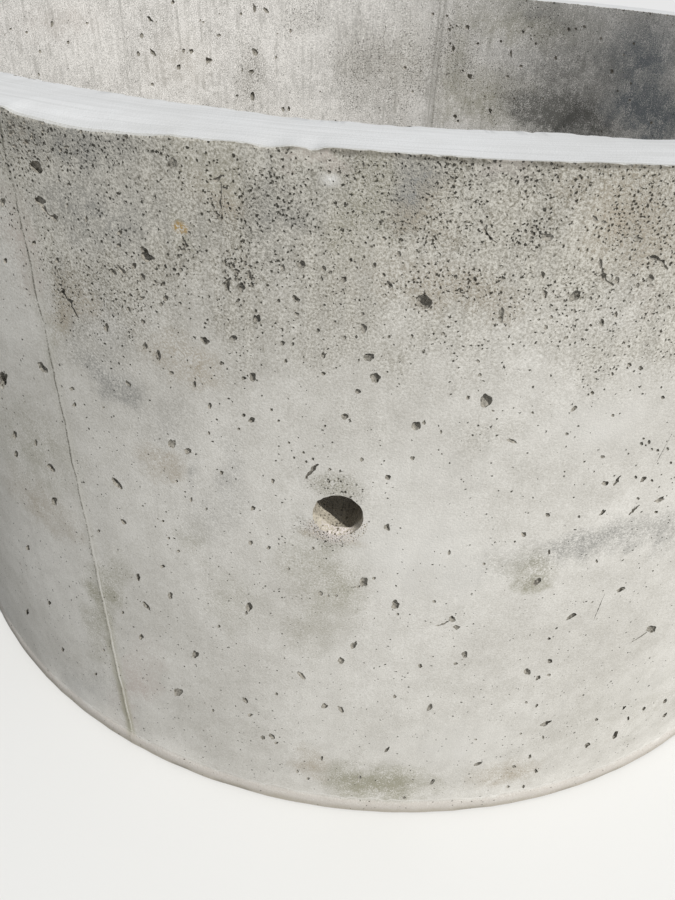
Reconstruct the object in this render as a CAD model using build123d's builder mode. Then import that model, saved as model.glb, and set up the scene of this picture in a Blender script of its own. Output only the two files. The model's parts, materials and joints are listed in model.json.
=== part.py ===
"""Concrete culvert ring: one casting, open at both ends, with two lifting holes through its wall.

Millimetres. The ring stands on its base at Z = 0 with its axis on +Z, and the front lifting hole faces -Y.
Angles round the ring are measured from the front lifting hole, in degrees, positive towards +X.
"""

import os
from math import cos, radians, sin

from build123d import *

# The casting
inner_diameter = 1500.0
wall_thickness = 90.0
height = 890.0

# The foot that the mould's base plate leaves round the outside
foot_height = 25.0
foot_proud = 3.0

# Edges: the top ones are trowelled crisp, the base ones are cast
top_outer_round = 2.0
top_inner_round = 1.5
base_inner_round = 3.0
foot_edge_round = 2.0

# Lifting holes
lifting_hole_diameter = 50.0
lifting_hole_drop = 340.0
lifting_hole_count = 2
outer_mouth_flare = 3.0
inner_mouth_flare = 4.0

# Fins of grout that the mould's vertical joints leave on the outside
seam_angle = -20.6
seam_count = 2
seam_width = 8.0
seam_proud = 1.5
seam_crest_width = 3.0

# How far a fin or a hole is carried into or past what it joins or meets in the wall
overlap = 1.0

inner_radius = inner_diameter / 2
outer_radius = inner_radius + wall_thickness
foot_radius = outer_radius + foot_proud
lifting_hole_height = height - lifting_hole_drop


def around(angle):
    """Unit vector out from the axis at an angle round the ring."""
    return Vector(sin(radians(angle)), -cos(radians(angle)), 0)


def seam_fin(angle):
    """Outline of one fin, seen from above: a low trapezium on a root that is buried in the wall."""
    out = around(angle)
    side = out.rotate(Axis.Z, 90)
    Polygon(
        out * (outer_radius - overlap) + side * seam_width / 2,
        out * outer_radius + side * seam_width / 2,
        out * (outer_radius + seam_proud) + side * seam_crest_width / 2,
        out * (outer_radius + seam_proud) - side * seam_crest_width / 2,
        out * outer_radius - side * seam_width / 2,
        out * (outer_radius - overlap) - side * seam_width / 2,
        align=None,
    )


with BuildPart() as ring_wall:
    # Section of the wall, turned once round the axis
    with BuildSketch(Plane.XZ):
        with BuildLine():
            Polyline(
                (inner_radius, 0),
                (foot_radius, 0),
                (foot_radius, foot_height - foot_proud),
                (outer_radius, foot_height),
                (outer_radius, height),
                (inner_radius, height),
                close=True,
            )
        make_face()
        corners = vertices()
        top_corners = corners.group_by(Axis.Y)[-1].sort_by(Axis.X)
        base_corners = corners.group_by(Axis.Y)[0].sort_by(Axis.X)
        fillet(top_corners[-1], top_outer_round)
        fillet(top_corners[0], top_inner_round)
        fillet(base_corners[-1], foot_edge_round)
        fillet(base_corners[0], base_inner_round)
    revolve(axis=Axis.Z)

    # Fins, from just over the base to just under the rounded top edge
    with BuildSketch(Plane.XY.offset(foot_edge_round)):
        for number in range(seam_count):
            seam_fin(seam_angle + number * 360 / seam_count)
    extrude(amount=height - top_outer_round - foot_edge_round)

    # Lifting holes, flared a little at both mouths
    for number in range(lifting_hole_count):
        out = around(number * 360 / lifting_hole_count)
        lift = Vector(0, 0, lifting_hole_height)
        with Locations(Plane(origin=out * outer_radius + lift, z_dir=out)):
            CounterSinkHole(
                radius=lifting_hole_diameter / 2,
                counter_sink_radius=lifting_hole_diameter / 2 + outer_mouth_flare,
                depth=wall_thickness / 2 + overlap,
                counter_sink_angle=90,
            )
        with Locations(Plane(origin=out * inner_radius + lift, z_dir=-out)):
            CounterSinkHole(
                radius=lifting_hole_diameter / 2,
                counter_sink_radius=lifting_hole_diameter / 2 + inner_mouth_flare,
                depth=wall_thickness / 2 + overlap,
                counter_sink_angle=90,
            )

ring_wall.part.label = "ring_wall"

os.makedirs("parts", exist_ok=True)
export_step(ring_wall.part, "parts/ring_wall.step")
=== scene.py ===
import json
import math
import random

import bmesh
import bpy
from mathutils import Matrix, Vector, noise


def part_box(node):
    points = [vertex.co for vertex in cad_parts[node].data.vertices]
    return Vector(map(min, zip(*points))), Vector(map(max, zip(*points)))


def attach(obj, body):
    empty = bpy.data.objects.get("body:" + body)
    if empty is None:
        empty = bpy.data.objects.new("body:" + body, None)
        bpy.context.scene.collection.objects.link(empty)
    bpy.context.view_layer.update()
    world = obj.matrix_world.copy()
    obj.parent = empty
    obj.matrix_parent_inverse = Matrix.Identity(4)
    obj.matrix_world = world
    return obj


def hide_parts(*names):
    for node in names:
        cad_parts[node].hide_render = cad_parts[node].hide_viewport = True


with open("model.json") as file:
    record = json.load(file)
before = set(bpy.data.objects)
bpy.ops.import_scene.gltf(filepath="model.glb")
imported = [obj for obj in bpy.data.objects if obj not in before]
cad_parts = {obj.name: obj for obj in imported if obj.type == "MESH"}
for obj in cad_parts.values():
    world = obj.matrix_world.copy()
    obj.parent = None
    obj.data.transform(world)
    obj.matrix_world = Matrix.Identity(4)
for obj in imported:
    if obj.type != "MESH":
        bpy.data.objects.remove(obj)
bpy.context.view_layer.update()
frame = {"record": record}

mounts = {m["name"]: m for m in frame["record"]["mounts"]}
mm = 0.001

# The casting's own sizes, all taken from the frame
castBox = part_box("ring_wall")
height = castBox[1].z
innerRadius = mounts["ring_bore"]["dims"]["r_mm"] * mm
footRadius = castBox[1].x
footProud = 3 * mm
outerRadius = round(footRadius - footProud, 3)
holePlace = Vector(mounts["lifting_hole_front"]["pos_m"])
holeRadius = mounts["lifting_hole_front"]["dims"]["r_mm"] * mm

photo = {
    "width": 675,        # pixels of the photograph
    "height": 900,
    "around": 1.86,      # where the camera stands, degrees round the ring from the lifting hole
    "distance": 1.368,   # metres from the ring's axis
    "eyeHeight": 1.017,  # metres above the ring's base
    "heading": -3.39,    # degrees right of the ring's axis
    "tilt": 36.23,       # degrees down
    "roll": 3.26,        # degrees
    "lens": 28.77,       # mm, on a sensor 36 mm long
    "sensor": 36.0,
}


def atAngle(degrees, radius, z=0.0):
    # A point round the ring: 0 degrees is the front lifting hole, and +90 is towards +X
    a = math.radians(degrees)
    return Vector((math.sin(a) * radius, -math.cos(a) * radius, z))


def linkObject(name, data):
    thing = bpy.data.objects.new(name, data)
    bpy.context.scene.collection.objects.link(thing)
    return thing


# Camera
def cameraTurn():
    tilted = Matrix.Rotation(math.radians(90 - photo["tilt"]), 4, "X")
    rolled = Matrix.Rotation(math.radians(photo["roll"]), 4, "Z")
    headed = Matrix.Rotation(math.radians(photo["around"] - photo["heading"]), 4, "Z")
    return headed @ tilted @ rolled


def makeCamera():
    data = bpy.data.cameras.new("photoCamera")
    data.lens = photo["lens"]
    data.sensor_width = photo["sensor"]
    data.clip_start = 0.01
    eye = linkObject("photoCamera", data)
    place = atAngle(photo["around"], photo["distance"], photo["eyeHeight"])
    eye.matrix_world = Matrix.Translation(place) @ cameraTurn()
    bpy.context.scene.camera = eye


def pixelRay(x, y):
    # Where the camera is, and the direction in which it sees a pixel of the photograph
    focal = photo["lens"] * photo["height"] / photo["sensor"]
    aim = Vector((x - photo["width"] / 2, photo["height"] / 2 - y, -focal))
    start = atAngle(photo["around"], photo["distance"], photo["eyeHeight"])
    return start, (cameraTurn().to_3x3() @ aim).normalized()


def hitRound(x, y, radius, far=False):
    # The point of a pixel on a round wall, on its near side or, with far, across the ring
    start, aim = pixelRay(x, y)
    a = aim.x ** 2 + aim.y ** 2
    b = start.x * aim.x + start.y * aim.y
    c = start.x ** 2 + start.y ** 2 - radius ** 2
    root = math.sqrt(max(b * b - a * c, 0.0))
    along = (-b + root) / a if far else (-b - root) / a
    return start + aim * along


def hitWall(x, y, far=False):
    return hitRound(x, y, innerRadius if far else outerRadius, far)


def angleOf(point):
    return math.degrees(math.atan2(point.x, -point.y))


makeCamera()
print("camera made")


# The skin of the ring: a section carried round in columns, close together near the rims
skin = {
    "frontHalf": 56.0,       # degrees each side of the camera with close columns
    "frontStep": 0.32,       # degrees, at the rim
    "backStep": 0.96,        # degrees, at the rim
    "wallShare": 3,          # one wall column for so many rim columns
    "outerRows": 17,
    "innerRows": 11,
    "topRows": 5,
    "topBevel": 0.5 * mm,
    "guards": (2.0, 6.0, 18.0),   # mm below the rim, rows that keep its raggedness to itself
    "topGuards": (7.0, 3.0),      # mm in from the outer edge, the same on the top face
    "footHeight": 25 * mm,
    "footWave": 1.8 * mm,    # how far the foot wanders inwards
    "footLength": 0.05,      # metres
    "footRound": 2 * mm,     # at its lower edge
    "boreRound": 3 * mm,     # at the lower edge of the bore
    "slowWave": 1.3 * mm,    # how far the walls wander
    "slowLength": 0.22,      # metres
    "slowRise": 0.06,        # metres up in which the wandering grows to its full
    "topWave": 0.9 * mm,     # how far the top face wanders below its level
    "topLength": 0.05,
    "wornOuter": 30 * mm,    # how far in from the edges the top face is worn down
    "wornInner": 14 * mm,
    "wornPower": 1.3,
    "leastDrop": 0.3 * mm,   # how far the edges are worn down, at least and at most
    "mostDrop": 14 * mm,
    "restDrop": 1.6 * mm,    # and where the photograph doesn't show them
    "restFade": 9.0,         # degrees in which the one passes into the other
    "edgeWander": 0.8 * mm,
    "edgeLength": 0.011,
    "fineLength": 0.005,
    "underEdge": 1.3,        # clearance of the walls under the worn edge, to its wander
}

# The fins that the mould's vertical joints leave
seam = {
    "angles": (-20.6, 159.4),                      # degrees round the ring
    "columns": (-5, -2.6, -1.3, 0, 1.3, 2.6, 5),   # mm across the fin
    "clear": 7 * mm,             # no other column stands nearer
    "proud": 1.1 * mm,
    "halfWidth": 4.2 * mm,
    "evenShare": 0.62,           # share of its height that isn't broken
    "breaks": 22,                # how often it is broken, for each metre
    "fadeHeights": (0.36, 0.56),   # metres up, between which it gets lower
    "fadeShare": 0.85,
}

# The worn edges of the top face, as pixels of the photograph from left to right
outerEdge = [
    (0, 107), (13, 114), (28, 118), (54, 125), (80, 130), (108, 133), (134, 136), (152, 136),
    (169, 135.5), (187, 139), (217, 141.6), (239, 142.7), (252, 145), (267, 148.5), (280, 147),
    (288, 145), (304, 148), (312, 150.7), (323, 147), (335, 146), (348, 146.8), (367, 148), (387, 151.8),
    (417, 151.4), (433, 153.3), (448, 155.7), (465, 156.8), (487, 157.9), (530, 159.4), (580, 161.6),
    (606, 163), (639, 164.4), (675, 166),
]
innerEdge = [
    (0, 71), (93, 87), (122, 93.5), (152, 98.2), (182, 102), (217, 106.3), (250, 111.3), (282, 116.5),
    (304, 118.7), (335, 120.5), (367, 123.2), (400, 126), (439, 127.6), (478, 127.3), (500, 129),
    (530, 130.6), (552, 132.3), (595, 134.8), (624, 137.3), (643, 139.9), (675, 142.7),
]


def smoothStep(low, high, x):
    t = min(max((x - low) / (high - low), 0.0), 1.0)
    return t * t * (3 - 2 * t)


def wave(spot, length, shift=(0, 0, 0)):
    # Smooth noise from -1 to 1; a shift gives another run of it
    return noise.noise(spot / length + Vector(shift))


def edgeProfile(pixels, radius):
    # (degrees round the ring, metres below the level of the top) of each pixel of a worn edge
    points = [hitRound(x, y, radius) for x, y in pixels]
    return [(angleOf(q), min(max(height - q.z, skin["leastDrop"]), skin["mostDrop"])) for q in points]


outerProfile = edgeProfile(outerEdge, outerRadius)
innerProfile = edgeProfile(innerEdge, innerRadius)


def dropAt(profile, degrees):
    first, last = profile[0], profile[-1]
    rest, wide = skin["restDrop"], skin["restFade"]
    if degrees <= first[0]:
        return rest + (first[1] - rest) * smoothStep(first[0] - wide, first[0], degrees)
    if degrees >= last[0]:
        return rest + (last[1] - rest) * smoothStep(last[0] + wide, last[0], degrees)
    for (a0, d0), (a1, d1) in zip(profile, profile[1:]):
        if degrees <= a1:
            return d0 + (d1 - d0) * (degrees - a0) / (a1 - a0)
    return rest


def isSeen(degrees):
    # Whether the photograph shows the outside here
    return abs((degrees - photo["around"] + 180) % 360 - 180) < skin["frontHalf"]


def columnAngles():
    # (degrees, whether a wall column stands here)
    columns = []
    degrees = -180.0
    while degrees < 179.8:
        columns.append((degrees, len(columns) % skin["wallShare"] == 0))
        degrees += skin["frontStep"] if isSeen(degrees) else skin["backStep"]
    clear = math.degrees(seam["clear"] / outerRadius)
    for angle in seam["angles"]:
        columns = [c for c in columns if abs(c[0] - angle) > clear]
        columns += [(angle + math.degrees(o * mm / outerRadius), True) for o in seam["columns"]]
    return sorted(columns)


def seamHeight(degrees, z):
    # How proud a fin stands here; it is broken, and lower in the upper half
    for angle in seam["angles"]:
        across = abs(degrees - angle) * math.pi / 180 * outerRadius
        if across < seam["halfWidth"]:
            broken = seam["evenShare"] + 0.5 * noise.noise(Vector((angle, 0, z * seam["breaks"])))
            lower = 1.0 - seam["fadeShare"] * smoothStep(*seam["fadeHeights"], z)
            return seam["proud"] * (1 - across / seam["halfWidth"]) * max(broken, 0.1) * lower
    return 0.0


def rimPoint(degrees, radius, z, part):
    # A point of the rim band, with the raggedness of its edges
    spot = atAngle(degrees, radius, z)
    fromOuter, fromInner = outerRadius - radius, radius - innerRadius
    down = dropAt(outerProfile, degrees) * max(0.0, 1 - fromOuter / skin["wornOuter"]) ** skin["wornPower"]
    down += dropAt(innerProfile, degrees) * max(0.0, 1 - fromInner / skin["wornInner"]) ** skin["wornPower"]
    down += abs(wave(spot, skin["topLength"], (7, 3, 1))) * skin["topWave"]
    out = 0.0
    if part != "top":
        out = wave(spot, skin["slowLength"]) * skin["slowWave"]
        ragged = wave(spot, skin["edgeLength"]) + 0.6 * wave(spot, skin["fineLength"])
        down += ragged * skin["edgeWander"]
    if part == "outerEdge":
        out -= abs(wave(spot, skin["edgeLength"], (5, 5, 5))) * skin["edgeWander"]
    return atAngle(degrees, radius + out, min(z - down, height))


def wallPoint(degrees, radius, z, part):
    # A point of the walls and the foot; close to the rim it stays under the worn edge
    spot = atAngle(degrees, radius, z)
    out = wave(spot, skin["slowLength"]) * skin["slowWave"]
    if part in ("outer", "inner"):
        out *= smoothStep(0.0, skin["slowRise"], z)
        drop = dropAt(outerProfile if part == "outer" else innerProfile, degrees)
        ceiling = height - drop - skin["topBevel"] - skin["edgeWander"] * skin["underEdge"]
        z = min(z, ceiling - (height - z) * 0.2)
    if part == "foot":
        out = -abs(wave(spot, skin["footLength"])) * skin["footWave"]
    if part == "outer":
        out += seamHeight(degrees, z)
    return atAngle(degrees, radius + out, max(z, 0.0))


def sectionRows():
    # Rows of the rim band from the inner wall over the top, and rows of the walls below it
    bevel = skin["topBevel"]
    high = height - bevel
    span = outerRadius - innerRadius - 2 * bevel
    rim = [(innerRadius, high - g * mm, "inner") for g in reversed(skin["guards"])]
    rim += [(innerRadius, high, "innerEdge"), (innerRadius + bevel, height, "innerEdge")]
    for k in range(1, skin["topRows"]):
        rim.append((innerRadius + bevel + span * k / skin["topRows"], height, "top"))
    rim += [(outerRadius - bevel - g * mm, height, "top") for g in skin["topGuards"]]
    rim += [(outerRadius - bevel, height, "outerEdge"), (outerRadius, high, "outerEdge")]
    rim += [(outerRadius, high - g * mm, "outer") for g in skin["guards"]]
    top = high - skin["guards"][-1] * mm
    foot, low = skin["footHeight"], skin["boreRound"]
    walls = []
    for k in range(1, skin["outerRows"]):
        walls.append((outerRadius, top - (top - foot) * k / skin["outerRows"], "outer"))
    walls += [
        (outerRadius, foot + 2 * mm, "outer"),
        (outerRadius + footProud * 0.3, foot - 1 * mm, "foot"),
        (footRadius - 0.4 * mm, foot - 4 * mm, "foot"),
        (footRadius, foot * 0.4, "foot"),
        (footRadius, skin["footRound"], "foot"),
        (footRadius - skin["footRound"], 0.0, "base"),
        (innerRadius + low, 0.0, "base"),
        (innerRadius, low, "inner"),
    ]
    for k in range(1, skin["innerRows"]):
        walls.append((innerRadius, low + (top - low) * k / skin["innerRows"], "inner"))
    return rim, walls


def closedMesh(name, vertices, faces):
    # A mesh with all its faces turned outwards
    mesh = bpy.data.meshes.new(name)
    mesh.from_pydata(vertices, [], faces)
    work = bmesh.new()
    work.from_mesh(mesh)
    bmesh.ops.recalc_face_normals(work, faces=work.faces)
    work.to_mesh(mesh)
    work.free()
    return mesh


def stripFaces(here, there, rows):
    # Faces between two columns that begin at these vertices
    return [(here + j, here + j + 1, there + j + 1, there + j) for j in range(rows - 1)]


def makeSkin():
    columns = columnAngles()
    rim, walls = sectionRows()
    vertices, faces, rimStart, wallStart = [], [], [], []
    for degrees, hasWall in columns:
        rimStart.append(len(vertices))
        for radius, z, part in rim:
            make = wallPoint if part in ("inner", "outer") else rimPoint
            vertices.append(make(degrees, radius, z, part))
        wallStart.append(len(vertices) if hasWall else None)
        if hasWall:
            vertices += [wallPoint(degrees, radius, z, part) for radius, z, part in walls]
    n, m, w = len(columns), len(rim), len(walls)
    for i in range(n):
        faces += stripFaces(rimStart[i], rimStart[(i + 1) % n], m)
    wallColumns = [i for i in range(n) if wallStart[i] is not None]
    for k, i in enumerate(wallColumns):
        after = wallColumns[(k + 1) % len(wallColumns)]
        between = [c % n for c in range(i, (after if after > i else after + n) + 1)]
        here, there = wallStart[i], wallStart[after]
        faces += stripFaces(here, there, w)
        faces.append((here, there, *[rimStart[c] + m - 1 for c in reversed(between)]))
        faces.append((there + w - 1, here + w - 1, *[rimStart[c] for c in between]))
    return closedMesh("ringSkin", vertices, faces)


ring = linkObject("concrete_ring", makeSkin())
castSkin = bpy.data.materials.new("castSkin")
hollowSkin = bpy.data.materials.new("hollowSkin")
insideSkin = bpy.data.materials.new("insideSkin")
for material in (castSkin, hollowSkin, insideSkin):
    ring.data.materials.append(material)
print("skin made:", len(ring.data.polygons), "faces")


# Air voids and chips, cut out of the skin
def plainMesh(thing):
    # The object's mesh with its modifiers applied, and the modifiers gone
    graph = bpy.context.evaluated_depsgraph_get()
    result = bpy.data.meshes.new_from_object(thing.evaluated_get(graph))
    thing.modifiers.clear()
    thing.data = result
    return result


def cutOut(cutter, note):
    cut = ring.modifiers.new("cut", "BOOLEAN")
    cut.operation = "DIFFERENCE"
    cut.solver = "MANIFOLD"
    cut.material_mode = "TRANSFER"
    cut.object = cutter
    before = len(ring.data.polygons)
    after = len(plainMesh(ring).polygons)
    bpy.data.objects.remove(cutter)
    print(note + ":", after - before, "faces more")


def cutShapes(shapes, name, note):
    # Cuts closed shapes, each given by its points and its faces, all at once
    vertices, faces = [], []
    for points, shapeFaces in shapes:
        start = len(vertices)
        vertices += points
        faces += [[start + i for i in face] for face in shapeFaces]
    mesh = closedMesh(name, vertices, faces)
    mesh.materials.append(hollowSkin)
    cutOut(linkObject(name, mesh), note)


def ballShape(detail):
    ball = bmesh.new()
    bmesh.ops.create_icosphere(ball, subdivisions=detail, radius=1)
    points = [v.co.copy() for v in ball.verts]
    faces = [[v.index for v in f.verts] for f in ball.faces]
    ball.free()
    return points, faces


ballShapes = {detail: ballShape(detail) for detail in (1, 2, 3, 4)}

voids = {
    "seed": 11,
    "depthShare": 0.85,        # depth of a void to its smaller half width
    "depthSpread": (0.75, 1.3),
    "leastDepth": 1.3 * mm,
    "faintShare": 0.28,        # depth of the faint voids
    "mostSunk": 0.3,           # how far a void's middle lies under the wall, to its depth
    "roughness": 0.544,        # how far a void is from round
    "lumps": 1.3,
    "largeFrom": 9.0 * mm,     # mean half width from which a void has the finest mesh
    "middleFrom": 3.4 * mm,
    "leanAngle": 48,           # degrees, of the voids marked as leaning
    "clearance": 1.35,         # of two voids that are cut together
}

# Voids that show in the photograph: pixel across and down, width and height in pixels,
# and 1 or -1 where the long axis leans down to the right or up to the right
wallVoids = {
    "upperLeft": [
        (36, 167, 16, 9, 1), (54.5, 218, 9, 6, 1), (40, 201, 14, 8, 0.6), (189, 233, 4, 4),
        (146.4, 256, 16, 10, 1), (142, 248, 4, 4), (113, 272, 10, 5, 1), (122, 271, 13, 4, 1),
        (134, 266, 6, 7), (142.5, 277, 6, 8), (119.6, 233, 5, 6), (118.6, 245.6, 5, 5), (106, 328, 5, 8),
        (204.7, 340, 10, 7, 1), (142, 298, 6, 4), (165.5, 298, 5, 6), (161.7, 304, 4, 4),
        (128, 308.7, 4, 5), (143.5, 322, 4, 4), (145, 346, 5, 7), (158, 355.6, 6, 10), (2, 202.5, 5, 9),
        (5, 261, 4, 6), (57, 260, 4, 6), (33.5, 242.7, 4, 5), (67, 205, 3, 4), (86, 219, 3, 7),
        (174, 269.5, 4, 4), (181, 269.5, 4, 4), (26, 142, 8, 4, 1), (20, 127, 6, 4), (66, 147, 6, 3),
        (14, 146, 5, 4), (9, 128, 5, 4), (29, 151, 4, 3),
    ],
    "upperMiddle": [
        (241, 286.5, 9, 9), (227, 285, 6, 12), (249, 275, 4, 11), (329, 172, 5, 4), (339, 173, 5, 4),
        (282.4, 267.4, 5, 8), (301.5, 264.5, 8, 8), (323.5, 268.4, 6, 6), (321.6, 279, 3, 6),
        (343.6, 279.8, 6, 7), (342.7, 290, 3, 3), (296, 299, 10, 6, 1), (278.6, 301, 4, 4),
        (296.7, 314, 5, 4), (256.6, 319, 8, 9), (318, 330.5, 4, 5), (363.7, 328.6, 6, 10),
        (362.7, 314, 4, 4), (344.6, 338, 3, 4), (335, 322, 3, 3), (233.6, 337.8, 8, 6),
        (282.4, 343, 5, 5), (293, 344, 3, 4), (389.5, 284.6, 9, 5, 1), (383.8, 275, 4, 4),
        (374, 265.5, 5, 5), (365.6, 243, 3, 3), (371, 247, 4, 3), (384, 238.7, 5, 4), (399, 254, 5, 6),
        (424, 303, 15, 15), (323.5, 355.4, 5, 6), (323.5, 373.6, 5, 4), (286, 361, 4, 4),
        (252.7, 377, 7, 8), (244, 378, 5, 4), (369.4, 357.3, 10, 8), (375.2, 378.4, 10, 10),
        (358, 391.8, 6, 5), (389, 337, 4, 4), (412, 336, 4, 4), (424, 350.6, 3, 3), (443, 334, 4, 4),
    ],
    "upperRight": [
        (547.6, 237.7, 11, 8), (532, 238, 4, 4), (519, 243.5, 4, 4), (518, 231, 4, 4), (633.7, 276, 4, 4),
        (638, 285.6, 4, 6), (651.3, 278, 6, 7), (651.3, 285.6, 7, 4), (653.7, 257.8, 8, 6),
        (545.3, 294.2, 5, 9), (575.3, 296, 14, 8, -1), (575, 311.4, 3, 4), (542.8, 275, 5, 8),
        (501.6, 316, 6, 16), (475, 279.8, 5, 6), (455.7, 277, 4, 5), (502.6, 278, 3, 4),
        (616.4, 315, 4, 6), (602, 323, 5, 8), (591, 325.7, 3, 3), (546, 327.6, 5, 5),
        (551.4, 317.5, 4, 4), (566.7, 338, 4, 4), (582.6, 340, 4, 3), (509, 348.7, 3, 3),
        (478.3, 361.5, 4, 4), (480, 375.5, 4, 4), (468, 398.4, 4, 4), (485.4, 401, 11, 14),
        (629.8, 365, 6, 4), (641, 368.4, 5, 4), (612.6, 374, 3, 4), (592.5, 393, 4, 4),
        (663, 397.5, 4, 4), (481, 222.5, 4, 4), (485, 229, 4, 8, 0.5), (600.5, 264, 5, 9),
        (603.5, 277, 7, 9, 0.4), (611.5, 284.5, 7, 4, 0.3), (617, 280.5, 6, 8), (669, 307.6, 4, 4),
        (653.7, 314, 4, 3), (624, 343, 3, 3), (629, 346.8, 3, 3), (595, 218, 8, 4, 1), (604, 222, 6, 3),
        (638, 239, 9, 4), (487, 217, 3, 3), (452, 178, 5, 4, 1), (363, 165, 3, 5),
    ],
    "leftMiddle": [
        (3, 380, 8, 18), (42, 367.5, 13, 6, 1), (14.7, 435, 4, 8), (35.7, 443, 3, 8), (16.3, 454, 4, 7),
        (51, 467.6, 10, 5, 1), (54.7, 501, 6, 9), (71, 389, 6, 4), (74, 405, 4, 5), (103, 408, 3, 3),
        (128, 384, 8, 4, 1), (171.4, 373, 6, 4), (194.5, 384, 4, 7), (210, 406, 4, 7), (221.4, 363, 5, 4),
        (188, 451, 7, 6), (221.4, 472.6, 4, 5), (209, 433, 3, 4), (176.5, 481.4, 3, 3), (191, 500, 3, 5),
        (116.7, 483.5, 14, 6, 1), (123.5, 521.6, 8, 4, 1), (98.8, 531, 3, 3), (163, 566, 5, 4),
        (138.4, 577, 4, 8), (171, 595.3, 5, 8), (146.5, 605, 11, 4, 1), (123, 612.4, 2.5, 4),
        (141.5, 636.5, 4, 6), (195.5, 654.5, 7, 7), (219, 626, 3.5, 3.5), (27.6, 548, 4, 5),
        (49.5, 603, 3, 5), (27.5, 611.5, 3, 6), (63, 649.5, 3, 4), (163, 521, 3, 3), (169, 538, 3, 3),
        (178.6, 551, 3, 3), (206.7, 508.8, 3, 3), (212.8, 710.8, 3, 3), (104, 650, 2.5, 3),
        (96, 674, 3, 3),
    ],
    "middle": [
        (344.6, 416.4, 7, 6), (325, 426, 3, 3), (251.8, 420, 7, 6), (244, 415, 4, 4),
        (271.5, 409.7, 4, 3), (238.8, 428.8, 3, 3), (278.6, 420.6, 3, 3), (416.3, 426.3, 8, 9),
        (424.3, 423, 4, 6), (441, 432.5, 3, 4), (289, 442.6, 3, 3), (303.4, 452.6, 3, 3),
        (294, 457.5, 3, 3), (306.3, 461.7, 3, 3), (313, 459, 3, 3), (329.8, 469.4, 3.5, 3),
        (338, 479, 3, 3), (329, 481.8, 3, 3), (361.8, 459.8, 4, 5), (412.5, 458.5, 5, 4),
        (388, 477.6, 7, 6), (272.8, 480.9, 4, 5), (252.7, 508.2, 5, 5), (387.2, 527.4, 6, 7),
        (250.8, 542.7, 5, 5), (268.6, 547.8, 4, 4), (313, 548.4, 3, 3), (363.7, 582.3, 9, 9),
        (374.2, 578.4, 4, 3), (320.3, 593.7, 6, 4, 1), (328.3, 596, 3, 3), (336.3, 596, 3, 3),
        (249, 607, 7, 9), (246.4, 612.9, 3, 4), (395, 605, 8, 8), (397.8, 614.4, 3, 3),
        (434.5, 601.6, 4, 3), (449.2, 552.6, 3, 5), (353.5, 645.5, 9, 5, -1), (340.5, 661, 7, 6),
        (301.6, 675.5, 10, 5, 1), (420.2, 666, 5, 4), (288.6, 569, 3, 3),
    ],
    "rightMiddle": [
        (467.8, 398, 4, 4), (493, 411.4, 4, 2.5), (532.8, 413, 3, 3), (512.2, 441.3, 11, 4, 0.4),
        (574.4, 408.6, 9, 4, -1), (613, 415.4, 4, 3), (567, 434, 4, 3), (657.6, 450.3, 4, 3),
        (651.8, 449, 3, 3), (667.7, 449, 3, 3), (671, 462.7, 3, 3), (602.5, 456.8, 5, 3),
        (605, 483.2, 8, 5), (636, 477, 3, 4), (643.6, 479, 8, 4, -1), (652, 480.3, 3, 3),
        (637.9, 498.5, 4, 3), (659.5, 499.6, 12, 4, -0.5), (656, 511.9, 4, 3), (602, 512.4, 10, 4, -1),
        (547.6, 514.7, 5, 4), (523.7, 534.4, 6, 5), (549, 551.7, 3, 6), (596.4, 560.8, 3, 4),
        (484, 563.7, 3, 3), (536, 581.9, 10, 5, -0.7), (620.3, 589.5, 10, 4, -0.6),
        (571, 616.3, 12, 4, -0.5), (651.8, 628.8, 10, 7, -0.6), (452, 619, 7, 6, -0.5),
        (456.7, 627.6, 7, 4), (464.5, 654.7, 6, 6), (455.5, 663.6, 4, 3), (549, 638.7, 4, 3),
        (549.8, 661, 5, 4), (527, 671.8, 7, 7), (538.4, 677.6, 6, 4, -1), (549, 675, 4, 2.5),
    ],
    "lower": [
        (276.4, 694.2, 3.5, 3.5), (245, 700, 7, 4, 1), (250, 715, 5, 3), (324.7, 706.3, 6, 5),
        (341, 709.6, 8, 4, 1), (394.8, 696.7, 3.5, 3.5), (429.5, 707.7, 8, 4, -1), (262.7, 737.6, 4, 4),
        (271.6, 736.4, 8, 4, 1), (276.4, 743, 4, 3), (387, 749.8, 6, 3, -1), (321.4, 758.4, 4, 4),
        (297.5, 771.3, 3, 3), (308, 778.8, 4, 2.5), (359.2, 777.3, 4, 3), (432, 782.5, 6, 3, -1),
        (404, 797.8, 4, 2.5), (526.5, 702.6, 3, 3), (536.8, 706, 4.5, 2.5, -1),
        (545.9, 723.5, 12, 4, -0.6), (521, 734, 3, 2), (543.3, 737.6, 2.5, 4), (475.8, 739.7, 3, 2),
        (596, 719.4, 4, 3), (624, 707.4, 5, 3, -1), (643.7, 708.2, 5, 3, -1), (628, 718.2, 2.5, 4),
        (665, 701, 6, 3, -1), (664.8, 715.3, 6, 3, -1), (615, 734.7, 9, 5, -1), (587.5, 744.7, 7, 4, -1),
        (478, 764.5, 10, 3, -0.4), (514, 766.6, 4, 3), (530, 757, 3, 4), (536, 771, 3, 4),
        (508, 786.6, 3.5, 2.5), (523.5, 786.6, 4, 2.5, -1),
    ],
}

# Shallow ones
faintVoids = [
    (172, 163, 11, 14), (172, 443.7, 9, 9), (178, 692, 9, 8), (9, 122, 11, 6), (22, 133, 9, 6, 1),
]

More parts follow.
